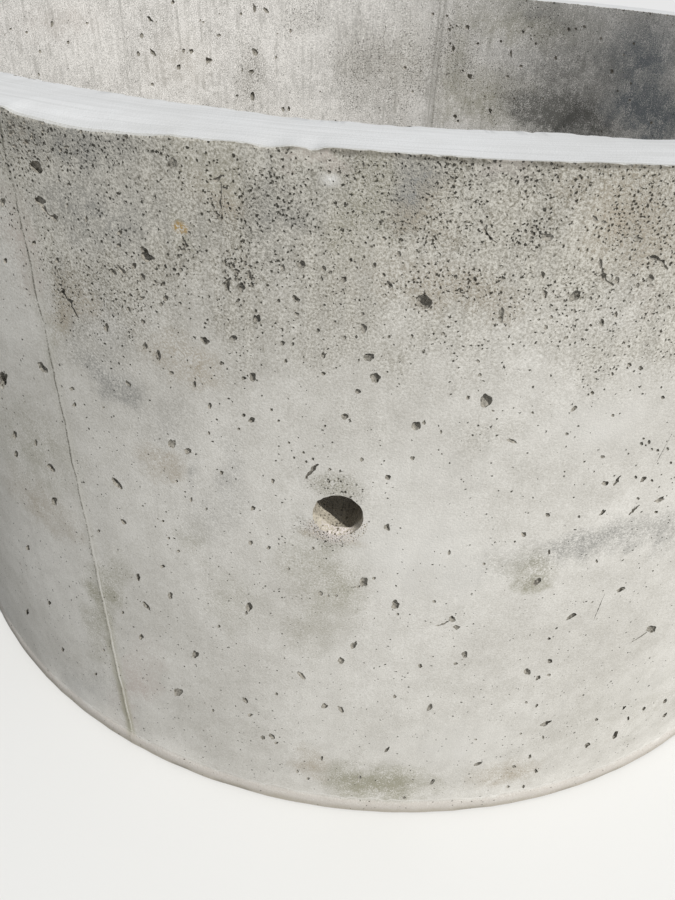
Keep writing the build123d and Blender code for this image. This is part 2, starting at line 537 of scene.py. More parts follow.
# The same on the inner wall across the ring
farVoids = [
    (433, 14, 3, 3), (447, 16, 3, 3), (467.5, 27.3, 4, 5), (450, 43.6, 3, 3), (453, 48.8, 4, 6),
    (477.7, 43.6, 3, 3), (501, 41.5, 3, 3), (535.8, 43.6, 3, 3), (523, 31.7, 3, 3), (568.8, 29.6, 4, 4),
    (576, 29, 3, 3), (584.3, 26.5, 3.5, 3), (555.8, 57.7, 3, 5), (511, 53.7, 2.5, 9), (463, 70.7, 3, 3),
    (469.6, 76.4, 5, 6), (520.8, 65.9, 3, 3), (507.8, 76.4, 3, 3), (490.3, 110.6, 4, 5),
    (455, 116.3, 4, 5), (458, 121, 3, 3), (514, 98.7, 2.5, 2.5), (543, 98.7, 2.5, 2.5), (634, 43.6, 3, 3),
    (612, 71.6, 4, 4), (631, 83.4, 2.5, 2.5), (618, 91, 2.5, 2.5), (630, 100, 2.5, 2.5),
    (651.7, 122.8, 3, 3), (52, 24, 3, 6), (26.4, 32.5, 3, 3), (10.5, 29, 3, 3), (68.3, 42.5, 2.5, 4),
    (87, 23.3, 3, 3), (150, 19, 8, 3, 1), (153, 52.6, 9, 4, 1), (173, 2.3, 4, 5), (183.7, 50.7, 3, 5),
    (191.3, 51.7, 4.5, 5), (208.5, 60.3, 7, 6), (219, 35.4, 4, 3), (241, 13.8, 3, 3), (254.4, 8.6, 3, 9),
    (266, 10.5, 7, 4, 1), (255.4, 52.6, 9, 5, 1), (276, 57.4, 3, 3), (251.6, 71.7, 5, 4),
    (252.5, 95.7, 4, 10), (237, 95.7, 3, 3), (152.5, 84.2, 4, 3), (178.9, 67, 4, 6), (283, 109, 3, 5),
    (289, 109, 3, 5),
]

# Rough nests of small voids: pixel across and down, width and height of the nest in pixels,
# their number and their size
nests = [
    (237, 268, 30, 34, 34, 3.2), (535, 231, 22, 12, 12, 3.0), (646.5, 442.6, 12, 8, 6, 2.6),
    (26, 134, 44, 24, 14, 3.0), (216, 205, 24, 40, 16, 2.6), (182, 250, 14, 18, 9, 2.8),
    (600, 300, 24, 20, 6, 2.6), (556, 300, 60, 40, 12, 2.4), (60, 170, 40, 40, 10, 2.6),
    (345, 260, 60, 30, 10, 2.4), (236, 300, 50, 20, 10, 2.6), (150, 285, 60, 40, 10, 2.8),
]
farNests = [
    (451.7, 26.8, 8, 6, 4, 2), (534, 38, 7, 6, 3, 2), (201, 21.4, 8, 5, 4, 2),
]

# Open slits and cracks: their width in pixels and the pixels that they pass
slits = [
    (5, (36, 199), (42, 205), (46, 212), (51, 217)),
    (6, (58, 284), (62, 290), (66, 299), (71, 306), (77, 318)),
    (2.2, (484, 228), (487, 234), (491, 239), (497, 243)),
    (2.6, (600, 258), (602, 268), (605, 279), (612, 284)), (3, (182, 236), (186, 245), (181, 251)),
    (4, (317.8, 463.7), (312, 471), (305.4, 478.4)), (3.5, (620.3, 476), (616.5, 481), (613.6, 485.7)),
    (3, (639.4, 504.8), (634, 510), (628.9, 514.7)),
    (2.5, (208, 180), (214, 179.5), (221, 176.5), (224, 175.5)),
    (2, (220.5, 181), (221, 192), (220, 204), (221, 213)), (2.2, (361, 585), (357, 587.3), (351, 587.8)),
    (2.5, (449, 621), (443, 624.5), (436, 626)), (2.2, (647, 632), (639, 637.5), (630, 643)),
    (2.5, (656, 257), (663, 262), (668, 270)),
    (0.9, (604.6, 593.7), (600, 604), (597, 612), (593.5, 620.5)),
    (0.8, (672, 434), (666, 445), (661, 454), (656.6, 462.7)),
]
slitShape = {
    "sides": 8,
    "stops": 3,              # for each pixel that is given
    "thinEnd": 0.35,         # width at its ends, to its middle
    "widthSpread": (0.4, 1.6),
    "sway": 0.7,
    "depth": 1.7,            # to its width
}


class Patch:
    # A place on the wall: its centre, its half axes along the wall, and the way out of the wall
    def __init__(self, x, y, wide, high, lean=0.0, far=False, faint=False):
        self.faint = faint
        self.place = hitWall(x, y, far)
        right = hitWall(x + 0.5, y, far) - hitWall(x - 0.5, y, far)
        down = hitWall(x, y + 0.5, far) - hitWall(x, y - 0.5, far)
        turn = math.radians(voids["leanAngle"] * lean)
        self.along = (right * math.cos(turn) + down * math.sin(turn)) * wide / 2
        self.across = (down * math.cos(turn) - right * math.sin(turn)) * high / 2
        self.out = Vector((self.place.x, self.place.y, 0)).normalized() * (-1 if far else 1)
        self.reach = max(self.along.length, self.across.length)
        self.small = min(self.along.length, self.across.length)


def unevenBall(detail, roughness, chance):
    # Points of a ball that isn't quite round
    drift = Vector([chance.uniform(-20, 20) for _ in range(3)])
    ball = ballShapes[detail][0]
    return [p * (1 + roughness * noise.noise(p * voids["lumps"] + drift)) for p in ball]


def voidShape(patch, chance):
    # A rounded hollow, not quite even, that opens at the wall
    mean = math.sqrt(patch.reach * patch.small)
    detail = 4 if mean > voids["largeFrom"] else 3 if mean > voids["middleFrom"] else 2
    depth = patch.small * voids["depthShare"] * chance.uniform(*voids["depthSpread"])
    depth = max(depth, voids["leastDepth"]) * (voids["faintShare"] if patch.faint else 1.0)
    sunk = depth * chance.uniform(0.0, voids["mostSunk"])
    points = []
    for q in unevenBall(detail, voids["roughness"], chance):
        outwards = q.z * depth - sunk
        points.append(patch.place + patch.along * q.x + patch.across * q.y + patch.out * outwards)
    return points, ballShapes[detail][1]


def sortIntoPasses(patches):
    # Voids of one pass keep clear of each other, which the cut needs
    def isClear(patch, other):
        return (patch.place - other.place).length > (patch.reach + other.reach) * voids["clearance"]

    passes = []
    for patch in sorted(patches, key=lambda p: -p.reach):
        for group in passes:
            if all(isClear(patch, other) for other in group):
                group.append(patch)
                break
        else:
            passes.append([patch])
    return passes


def nestPatches(groups, chance, far=False):
    patches = []
    for x, y, wide, high, number, size in groups:
        for _ in range(number):
            shift = Vector((chance.uniform(-0.5, 0.5) * wide, chance.uniform(-0.5, 0.5) * high))
            grow = size * chance.uniform(0.7, 1.4)
            tall = grow * chance.uniform(0.7, 1.3)
            patches.append(Patch(x + shift.x, y + shift.y, grow, tall, far=far))
    return patches


def cutVoids():
    chance = random.Random(voids["seed"])
    patches = [Patch(*entry) for group in wallVoids.values() for entry in group]
    patches += [Patch(*entry, far=True) for entry in farVoids]
    patches += [Patch(*entry, faint=True) for entry in faintVoids]
    patches += nestPatches(nests, chance) + nestPatches(farNests, chance, True)
    for number, group in enumerate(sortIntoPasses(patches)):
        shapes = [voidShape(patch, chance) for patch in group]
        cutShapes(shapes, "voidCutter", f"voids, pass {number + 1}, {len(group)} of them")


def tubeFaces(rings, sides):
    # A tube of rings, closed at both ends
    faces = []
    for k in range(rings - 1):
        for s in range(sides):
            a, b = k * sides + s, k * sides + (s + 1) % sides
            faces.append((a, b, b + sides, a + sides))
    faces.append(tuple(range(sides)))
    faces.append(tuple(range((rings - 1) * sides, rings * sides)))
    return faces


def slitPlaces(pixels):
    share = slitShape["stops"]
    stops = []
    for (x0, y0), (x1, y1) in zip(pixels, pixels[1:]):
        stops += [(x0 + (x1 - x0) * t / share, y0 + (y1 - y0) * t / share) for t in range(share)]
    return [hitWall(*stop) for stop in stops + [pixels[-1]]]


def cutSlits():
    # Each slit is a closed tube through its pixels, deep and narrow, pinched at both ends
    chance = random.Random(voids["seed"] + 1)
    sides, thin, sway = slitShape["sides"], slitShape["thinEnd"], slitShape["sway"]
    shapes = []
    for wide, *pixels in slits:
        places = slitPlaces(pixels)
        points = []
        for k, place in enumerate(places):
            ahead = places[min(k + 1, len(places) - 1)] - places[max(k - 1, 0)]
            out = Vector((place.x, place.y, 0)).normalized()
            side = ahead.cross(out).normalized()
            pinch = thin + (1 - thin) * math.sin(math.pi * (k + 0.5) / len(places))
            half = wide * mm * 0.5 * pinch * chance.uniform(*slitShape["widthSpread"])
            middle = place + side * half * chance.uniform(-sway, sway)
            for s in range(sides):
                turn = 2 * math.pi * s / sides
                deep = out * math.sin(turn) * half * slitShape["depth"]
                points.append(middle + side * math.cos(turn) * half + deep)
        shapes.append((points, tubeFaces(len(places), sides)))
    cutShapes(shapes, "slitCutter", f"slits, {len(slits)} of them")


def crumbShape(centre, along, across, out, chance):
    # A small uneven ball with these half axes
    points = []
    for q in unevenBall(1, 0.5, chance):
        points.append(centre + along * q.x + across * q.y + out * q.z)
    return points, ballShapes[1][1]


# Lifting holes: a rough tube through the wall, with chipped mouths
lift = {
    "sides": 40,
    "rough": 0.9 * mm,
    "mouth": 0.9 * mm,        # how far the outer mouth is broken out all round
    "mouthLow": 1.2 * mm,     # and more at its lower lip
    "mouthChips": 1.8 * mm,
    "innerMouth": 4.0 * mm,
    "crust": 4.6 * mm,        # how far the crumbling lip stands up into the hole
    "crustRough": 1.3 * mm,
    "groove": 4.5 * mm,       # hollow of the hole's floor behind it
    "crumbs": 190,            # most small hollows in the crumbling lip under the mouth
    "crumbAngles": (-160, -14),   # degrees round the mouth between which it crumbles
    "crumbReach": 37 * mm,    # how far from the hole's middle the lip crumbles
    "crumbSizes": (0.5, 1.5),     # mm
}

# Stations along a lifting hole: mm in from the outer wall, and the shares of the outer mouth, the inner
# mouth, the crust and the groove that it has there
liftStations = [
    (-12, 1.5, 0, 0, 0), (-3, 1.15, 0, 0, 0), (1, 0.85, 0, 0, 0), (3.5, 0.4, 0, 0.8, 0), (6, 0, 0, 1, 0),
    (8.5, 0, 0, 0, 1), (17, 0, 0, 0, 0.9), (34, 0, 0, 0, 0), (52, 0, 0, 0, 0), (70, 0, 0, 0, 0),
    (83, 0, 0.05, 0, 0), (87, 0, 0.5, 0, 0), (90, 0, 1, 0, 0), (102, 0, 1.8, 0, 0),
]


def cutLiftingHole(out, side, facing, name):
    up = Vector((0, 0, 1))
    points = []
    for k, (deep, outerShare, innerShare, crust, groove) in enumerate(liftStations):
        middle = out * (outerRadius - deep * mm) + up * holePlace.z
        for s in range(lift["sides"]):
            turn = 2 * math.pi * s / lift["sides"]
            ray = side * math.cos(turn) + up * math.sin(turn)
            probe = ray * 1.7 + out * facing * (k * 0.8 + facing * 9)
            rough = lift["rough"] * (noise.noise(probe) + 0.6 * noise.noise(probe * 3.1))
            low = smoothStep(0.1, 1.0, -math.sin(turn - 0.25))
            flare = (lift["mouth"] + lift["mouthLow"] * low) * outerShare + lift["innerMouth"] * innerShare
            chip = lift["mouthChips"] * abs(noise.noise(probe * 3.3 + Vector((4, 4, 4)))) * outerShare
            bottom = smoothStep(0.35, 1.0, -math.sin(turn + 0.35 * facing))
            lip = lift["groove"] * groove - lift["crust"] * crust
            if crust:
                lip += lift["crustRough"] * noise.noise(probe * 5.1)
            reach = holeRadius - lift["rough"] + rough + flare + chip + bottom * lip
            points.append(middle + ray * reach)
    shapes = [(points, tubeFaces(len(liftStations), lift["sides"]))]
    cutShapes(shapes, "liftCutter", "lifting hole, " + name)


def cutCrumbs(out, side, name):
    # The crumbling lip under a lifting hole, of small hollows that keep clear of each other
    chance = random.Random(len(name))
    spots, taken = [], []
    for _ in range(lift["crumbs"] * 6):
        turn = math.radians(chance.uniform(*lift["crumbAngles"]))
        spread = chance.uniform(0.06, 1.0) ** 1.3 * abs(math.sin(turn)) ** 0.5
        reach = holeRadius + spread * (lift["crumbReach"] - holeRadius)
        size = chance.uniform(*lift["crumbSizes"]) * mm
        flat = (math.cos(turn) * reach, math.sin(turn) * reach)
        if len(spots) < lift["crumbs"] and all(math.dist(flat, f) > (size + r) * 1.2 for f, r in taken):
            taken.append((flat, size))
            depth = math.sqrt(outerRadius ** 2 - flat[0] ** 2)
            centre = out * depth + side * flat[0] + Vector((0, 0, holePlace.z + flat[1]))
            deep = out * size * chance.uniform(0.8, 1.3)
            spots.append((centre, side * size, Vector((0, 0, size)), deep))
    shapes = [crumbShape(*spot, chance) for spot in spots]
    cutShapes(shapes, "crumbCutter", f"crumbs of the {name} hole, {len(spots)} of them")


def cutLiftingHoles():
    front = Vector((holePlace.x, holePlace.y, 0)).normalized()
    for facing, name in ((1, "front"), (-1, "back")):
        out = front * facing
        side = Vector((0, 0, 1)).cross(out)
        cutLiftingHole(out, side, facing, name)
        cutCrumbs(out, side, name)


chips = {
    "seed": 5,
    "front": (0.9, 2.2),       # mm, half width of the chips on the edges that the photograph shows
    "behind": (1.4, 3.6),
    "outerGap": (2.0, 22.0),   # spaces between chips, in half widths
    "innerGap": (1.2, 7.0),
}


def cutChips(radius, profile, sign, gap, note):
    # Small bites out of an edge of the top face, one after another round it
    chance = random.Random(chips["seed"] + int(radius * 1000))
    spots = []
    degrees = -180.0
    while degrees < 179.0:
        size = chance.uniform(*chips["front" if isSeen(degrees) else "behind"]) * mm
        degrees += math.degrees(size * chance.uniform(*chips[gap]) / radius) + math.degrees(size / radius)
        centre = atAngle(degrees, radius - sign * chance.uniform(-0.2, 0.5) * size)
        centre.z = height - dropAt(profile, degrees) - chance.uniform(0.0, 1.0) * size
        tall = Vector((0, 0, size * chance.uniform(0.7, 1.3)))
        along = atAngle(degrees + 90, 1.0) * size * chance.uniform(0.8, 1.2)
        spots.append((centre, along, atAngle(degrees, 1.0) * size * 0.6, tall))
    shapes = [crumbShape(*spot, chance) for spot in spots]
    cutShapes(shapes, "chipCutter", f"{note}, {len(spots)} of them")


# Helpers for node trees: an input is given a value or the output that feeds it
def put(tree, kind, inputs=None, **settings):
    node = tree.nodes.new(kind)
    for name, value in settings.items():
        setattr(node, name, value)
    for key, value in (inputs or {}).items():
        if isinstance(value, bpy.types.NodeSocket):
            tree.links.new(value, node.inputs[key])
        else:
            node.inputs[key].default_value = value
    return node


def sums(tree, operation, *values):
    return put(tree, "ShaderNodeMath", dict(enumerate(values)), operation=operation).outputs[0]


def times(tree, first, second):
    return sums(tree, "MULTIPLY", first, second)


def timesPlus(tree, first, second, more):
    return sums(tree, "MULTIPLY_ADD", first, second, more)


def vectors(tree, operation, *values):
    node = put(tree, "ShaderNodeVectorMath", dict(enumerate(values)), operation=operation)
    return node.outputs["Value" if operation in ("DOT_PRODUCT", "LENGTH") else "Vector"]


def scaled(tree, vector, factor):
    return put(tree, "ShaderNodeVectorMath", {0: vector, "Scale": factor}, operation="SCALE").outputs[0]


def combine(tree, x, y, z=0.0):
    return put(tree, "ShaderNodeCombineXYZ", {0: x, 1: y, 2: z}).outputs[0]


def separate(tree, vector):
    return put(tree, "ShaderNodeSeparateXYZ", {0: vector}).outputs


def mixed(tree, amount, first, second):
    return put(tree, "ShaderNodeMix", {0: amount, 2: first, 3: second}).outputs[0]


def fade(tree, value, low, high, atLow=0.0, atHigh=1.0):
    inputs = {"Value": value, "From Min": low, "From Max": high, "To Min": atLow, "To Max": atHigh}
    return put(tree, "ShaderNodeMapRange", inputs, interpolation_type="SMOOTHSTEP").outputs[0]


def cloud(tree, place, scale, detail=3.0, roughness=0.55):
    inputs = {"Vector": place, "Scale": scale, "Detail": detail, "Roughness": roughness}
    return put(tree, "ShaderNodeTexNoise", inputs).outputs[0]


def ringParts(tree, place):
    # The three parts of a place, and how far it is from the ring's axis
    parts = separate(tree, place)
    return parts, vectors(tree, "LENGTH", combine(tree, parts[0], parts[1]))


# Scattered voids, made by Geometry Nodes on the ring's skin
bugHoles = {
    "Spacing": ("NodeSocketFloat", 0.012),      # metres, least from one to the next
    "Crowding": ("NodeSocketFloat", 900.0),     # most for each square metre
    "Smallest": ("NodeSocketFloat", 0.0016),    # metres, half width
    "Largest": ("NodeSocketFloat", 0.0045),
    "Flatness": ("NodeSocketFloat", 0.8),       # depth to half width
    "Top band": ("NodeSocketFloat", 1.0),       # share in the porous band under the rim
    "Lower wall": ("NodeSocketFloat", 0.3),
    "Seen front": ("NodeSocketFloat", 0.1),     # share where the photograph gives the voids
    "Inner wall": ("NodeSocketFloat", 0.5),
    "Fineness": ("NodeSocketInt", 2),
    "Seed": ("NodeSocketInt", 1),
}
scatters = {
    "middling scattered voids": {
        "Spacing": 0.014, "Crowding": 195.0, "Smallest": 0.0019, "Largest": 0.0052, "Fineness": 2,
        "Seen front": 0.0, "Seed": 3},
    "small scattered voids": {
        "Spacing": 0.006, "Crowding": 620.0, "Smallest": 0.0009, "Largest": 0.0019, "Fineness": 1,
        "Top band": 1.0, "Lower wall": 0.08, "Seen front": 1.0, "Inner wall": 0.06, "Seed": 8},
}
scatterField = {
    "seenAngles": (56, 44),       # degrees from the camera, where the seen front ends and is full
    "bandHeights": (0.60, 0.84),  # metres up, where the porous band begins and is full
    "patchScale": 7.0,
    "footClear": 0.034,           # metres above the base and below the rim that stay free
    "rimClear": 0.012,
    "smallBias": 2.2,             # the higher, the fewer large ones
    "unevenScale": 260.0,
    "unevenReach": 0.0022,        # metres
}


def voidShare(tree, given, place):
    # How thickly the voids lie: less below the band, and least where the photograph gives them
    parts, fromAxis = ringParts(tree, place)
    middle = (innerRadius + outerRadius) / 2
    outerSide = fade(tree, fromAxis, middle, middle + 2 * mm)
    towards = vectors(tree, "DOT_PRODUCT", place, atAngle(photo["around"], 1.0))
    edge, full = [math.cos(math.radians(angle)) for angle in scatterField["seenAngles"]]
    seen = times(tree, fade(tree, sums(tree, "DIVIDE", towards, fromAxis), edge, full), outerSide)
    band = fade(tree, parts[2], *scatterField["bandHeights"])
    patchy = fade(tree, cloud(tree, place, scatterField["patchScale"]), 0.40, 0.62, 0.25, 1.0)
    byHeight = mixed(tree, band, given["Lower wall"], given["Top band"])
    bySide = mixed(tree, outerSide, given["Inner wall"], byHeight)
    bySight = mixed(tree, seen, 1.0, given["Seen front"])
    share = times(tree, times(tree, bySide, bySight), patchy)
    upright = separate(tree, put(tree, "GeometryNodeInputNormal").outputs[0])[2]
    onWall = sums(tree, "LESS_THAN", sums(tree, "ABSOLUTE", upright), 0.2)
    aboveFoot = sums(tree, "GREATER_THAN", parts[2], scatterField["footClear"])
    belowRim = sums(tree, "LESS_THAN", parts[2], height - scatterField["rimClear"])
    return times(tree, share, times(tree, times(tree, onWall, aboveFoot), belowRim))


def luckOf(tree, seed, low=0.0, high=1.0):
    inputs = {2: low, 3: high, "Seed": seed}
    return put(tree, "FunctionNodeRandomValue", inputs, data_type="FLOAT").outputs[1]


def bugHoleTree():
    tree = bpy.data.node_groups.new("bugHoles", "GeometryNodeTree")
    tree.interface.new_socket(name="Geometry", in_out="INPUT", socket_type="NodeSocketGeometry")
    for name, (kind, value) in bugHoles.items():
        tree.interface.new_socket(name=name, in_out="INPUT", socket_type=kind).default_value = value
    tree.interface.new_socket(name="Geometry", in_out="OUTPUT", socket_type="NodeSocketGeometry")
    given = tree.nodes.new("NodeGroupInput").outputs
    result = tree.nodes.new("NodeGroupOutput").inputs
    place = put(tree, "GeometryNodeInputPosition").outputs[0]
    points = put(tree, "GeometryNodeDistributePointsOnFaces", {
        "Mesh": given["Geometry"], "Distance Min": given["Spacing"], "Density Max": given["Crowding"],
        "Density Factor": voidShare(tree, given, place), "Seed": given["Seed"],
    }, distribute_method="POISSON").outputs
    luck = sums(tree, "POWER", luckOf(tree, given["Seed"]), scatterField["smallBias"])
    size = mixed(tree, luck, given["Smallest"], given["Largest"])
    stretch = put(tree, "FunctionNodeRandomValue", {
        0: (0.75, 0.75, 0.8), 1: (1.3, 1.1, 1.2), "Seed": given["Seed"]}, data_type="FLOAT_VECTOR").outputs[0]
    flat = combine(tree, 1.0, 1.0, given["Flatness"])
    scale = scaled(tree, vectors(tree, "MULTIPLY", stretch, flat), size)
    twist = put(tree, "FunctionNodeAxisAngleToRotation", {
        "Axis": (0, 0, 1), "Angle": luckOf(tree, 5, 0.0, 2 * math.pi)}).outputs[0]
    turned = put(tree, "FunctionNodeRotateRotation", {
        0: points["Rotation"], 1: twist}, rotation_space="LOCAL").outputs[0]
    ball = put(tree, "GeometryNodeMeshIcoSphere", {"Radius": 1.0, "Subdivisions": given["Fineness"]})
    many = put(tree, "GeometryNodeInstanceOnPoints", {
        "Points": points["Points"], "Instance": ball.outputs[0], "Rotation": turned, "Scale": scale})
    real = put(tree, "GeometryNodeRealizeInstances", {0: many.outputs[0]})
    uneven = put(tree, "ShaderNodeTexNoise", {
        "Vector": place, "Scale": scatterField["unevenScale"], "Detail": 0.0}).outputs[1]
    uneven = vectors(tree, "SUBTRACT", uneven, (0.5, 0.5, 0.5))
    offset = scaled(tree, uneven, scatterField["unevenReach"])
    moved = put(tree, "GeometryNodeSetPosition", {"Geometry": real.outputs[0], "Offset": offset})
    painted = put(tree, "GeometryNodeSetMaterial", {"Geometry": moved.outputs[0], "Material": hollowSkin})
    tree.links.new(painted.outputs[0], result[0])
    return tree


def scatterVoids(tree, mesh, note, values):
    holder = linkObject("voidScatter", mesh.copy())
    maker = holder.modifiers.new("bugHoles", "NODES")
    maker.node_group = tree
    for item in tree.interface.items_tree:
        if item.in_out == "INPUT" and item.name in bugHoles:
            maker[item.identifier] = values.get(item.name, bugHoles[item.name][1])
    plainMesh(holder)
    cutOut(holder, note)


firstSkin = ring.data.copy()
cutLiftingHoles()
cutVoids()
cutSlits()
cutChips(outerRadius, outerProfile, 1, "outerGap", "chips of the outer edge")
cutChips(innerRadius, innerProfile, -1, "innerGap", "chips of the inner edge")
scatterTree = bugHoleTree()
for note, values in scatters.items():
    scatterVoids(scatterTree, firstSkin, note, values)

creases = (40, 75)    # degrees from which an edge is crisp, on the skin and in a hollow


def shadeSmoothly(mesh):
    # Smooth all over, with crisp lines where a void opens
    work = bmesh.new()
    work.from_mesh(mesh)
    for face in work.faces:
        face.smooth = True
    for edge in work.edges:
        if len(edge.link_faces) == 2:
            first, second = edge.link_faces
            sameSkin = first.material_index == second.material_index
            crisp = math.radians(creases[first.material_index])
            edge.smooth = sameSkin and edge.calc_face_angle(0.0) < crisp
    work.to_mesh(mesh)
    work.free()


def paintInside(mesh):
    # The inner wall has its own finish
    for face in mesh.polygons:
        level = math.hypot(face.center.x, face.center.y)
        if face.material_index == 0 and level < innerRadius + 3 * mm and abs(face.normal.z) < 0.7:
            face.material_index = 2


shadeSmoothly(ring.data)
paintInside(ring.data)
ring.data.calc_loop_triangles()
print("ring:", len(ring.data.loop_triangles), "triangles")


# Materials
def blend(tree, amount, first, second, mode="MIX"):
    inputs = {0: amount, 6: first, 7: second}
    return put(tree, "ShaderNodeMix", inputs, data_type="RGBA", blend_type=mode).outputs[2]


def newGroup(name, given, results):
    group = bpy.data.node_groups.new(name, "ShaderNodeTree")
    for label, (kind, value) in given.items():
        socket = group.interface.new_socket(name=label, in_out="INPUT", socket_type="NodeSocket" + kind)
        socket.default_value = value
    for label, kind in results.items():
        group.interface.new_socket(name=label, in_out="OUTPUT", socket_type="NodeSocket" + kind)
    return group, group.nodes.new("NodeGroupInput").outputs, group.nodes.new("NodeGroupOutput").inputs


def useGroup(tree, group, inputs):
    return put(tree, "ShaderNodeGroup", inputs, node_tree=group).outputs


mottle = {
    "cloudScale": 5.0,        # per metre
    "blotchScale": 38.0,
    "grainScale": 480.0,
    "cloudShare": 0.40,
    "blotchShare": 0.34,
    "middle": 0.37,
    "limits": (-0.45, 2.2),   # how far the shade may go beyond the pale and the dark colour
}


def grainCloud(tree, place):
    return cloud(tree, place, mottle["grainScale"], 1.0, 0.9)


def cementMottleGroup():
    # Clouds, blotches and sand grain between a pale and a dark cement colour
    group, given, result = newGroup("cementMottle", {
        "Place": ("Vector", (0, 0, 0)), "Pale": ("Color", (0.64, 0.63, 0.6, 1)),
        "Dark": ("Color", (0.48, 0.47, 0.44, 1)), "Balance": ("Float", 0.5), "Grain contrast": ("Float", 2.0),
    }, {"Colour": "Color", "Grain": "Float", "Blotch": "Float"})
    clouds = fade(group, cloud(group, given["Place"], mottle["cloudScale"], 2.0, 0.6), 0.32, 0.68)
    blotches = fade(group, cloud(group, given["Place"], mottle["blotchScale"], 3.0, 0.7), 0.30, 0.70)
    grain = grainCloud(group, given["Place"])
    shade = timesPlus(group, clouds, mottle["cloudShare"], times(group, blotches, mottle["blotchShare"]))
    shade = timesPlus(group, sums(group, "SUBTRACT", grain, 0.5), given["Grain contrast"], shade)
    shade = sums(group, "ADD", sums(group, "SUBTRACT", shade, mottle["middle"]), given["Balance"])
    least, most = mottle["limits"]
    shade = sums(group, "MINIMUM", sums(group, "MAXIMUM", shade, least), most)
    inputs = {0: shade, 6: given["Pale"], 7: given["Dark"]}
    mix = put(group, "ShaderNodeMix", inputs, data_type="RGBA", clamp_factor=False)
    group.links.new(mix.outputs[2], result["Colour"])
    group.links.new(grain, result["Grain"])
    group.links.new(blotches, result["Blotch"])
    return group


def pitFieldGroup():
    # Pin holes, one in some of the cells, of uneven size and with ragged edges
    group, given, result = newGroup("pitField", {
        "Place": ("Vector", (0, 0, 0)), "Spacing": ("Float", 0.005), "Size": ("Float", 0.2),
        "Share": ("Float", 0.3), "Grain": ("Float", 0.5)}, {"Mask": "Float"})
    scale = sums(group, "DIVIDE", 1.0, given["Spacing"])
    cells = put(group, "ShaderNodeTexVoronoi", {
        "Vector": given["Place"], "Scale": scale, "Randomness": 1.0}, feature="F1").outputs
    luck = put(group, "ShaderNodeSeparateColor", {0: cells["Color"]}).outputs
    there = sums(group, "LESS_THAN", luck[0], given["Share"])
    reach = times(group, given["Size"], timesPlus(group, luck[1], 1.0, 0.5))
    reach = times(group, reach, sums(group, "MAXIMUM", timesPlus(group, given["Grain"], 3.0, -0.5), 0.1))
    hollow = fade(group, sums(group, "DIVIDE", cells["Distance"], reach), 0.6, 1.15, 1.0, 0.0)
    group.links.new(times(group, hollow, there), result["Mask"])
    return group


def softSpotGroup():
    # Adds a soft-edged oval spot to a mask, on the unrolled wall
    group, given, result = newGroup("softSpot", {
        "Place": ("Vector", (0, 0, 0)), "Centre": ("Vector", (0, 0, 0)), "Reach": ("Vector", (1, 1, 1)),
        "Strength": ("Float", 0.5), "Before": ("Float", 0.0)}, {"Mask": "Float"})
    shrink = vectors(group, "DIVIDE", (1, 1, 1), given["Reach"])
    shift = vectors(group, "MULTIPLY", vectors(group, "MULTIPLY", given["Centre"], shrink), (-1, -1, -1))
    away = vectors(group, "LENGTH", vectors(group, "MULTIPLY_ADD", given["Place"], shrink, shift))
    less = times(group, given["Strength"], -1.0)
    inside = sums(group, "MAXIMUM", timesPlus(group, away, less, given["Strength"]), 0.0)
    group.links.new(sums(group, "ADD", inside, given["Before"]), result["Mask"])
    return group


def leanSpotGroup():
    # The same for an oval that leans; Along and Across turn a place into shares of its half axes
    group, given, result = newGroup("leanSpot", {
        "Place": ("Vector", (0, 0, 0)), "Centre": ("Vector", (0, 0, 0)), "Along": ("Vector", (1, 0, 0)),
        "Across": ("Vector", (0, 1, 0)), "Strength": ("Float", 0.5), "Before": ("Float", 0.0),
    }, {"Mask": "Float"})
    away = vectors(group, "SUBTRACT", given["Place"], given["Centre"])
    along = vectors(group, "DOT_PRODUCT", away, given["Along"])
    across = vectors(group, "DOT_PRODUCT", away, given["Across"])
    outwards = vectors(group, "LENGTH", combine(group, along, across))
    inside = sums(group, "MAXIMUM", sums(group, "SUBTRACT", 1.0, outwards), 0.0)
    group.links.new(timesPlus(group, inside, given["Strength"], given["Before"]), result["Mask"])
    return group


def runMarksGroup():
    # Upright streaks: fine across the wall, long down it
    group, given, result = newGroup("runMarks", {
        "Place": ("Vector", (0, 0, 0)), "Fineness": ("Float", 60.0), "Flatten": ("Float", 0.08),
    }, {"Mask": "Float"})
    stretched = vectors(group, "MULTIPLY", given["Place"], combine(group, 1.0, 1.0, given["Flatten"]))
    streaks = cloud(group, stretched, given["Fineness"], 2.0, 0.6)
    group.links.new(fade(group, streaks, 0.42, 0.66), result["Mask"])
    return group


jointShape = {
    "lineWander": 0.0070,     # metres that the line and its burr wander, and the strip
    "stripWander": 0.012,
    "burrAside": 0.0032,      # metres from the line to the burr
}


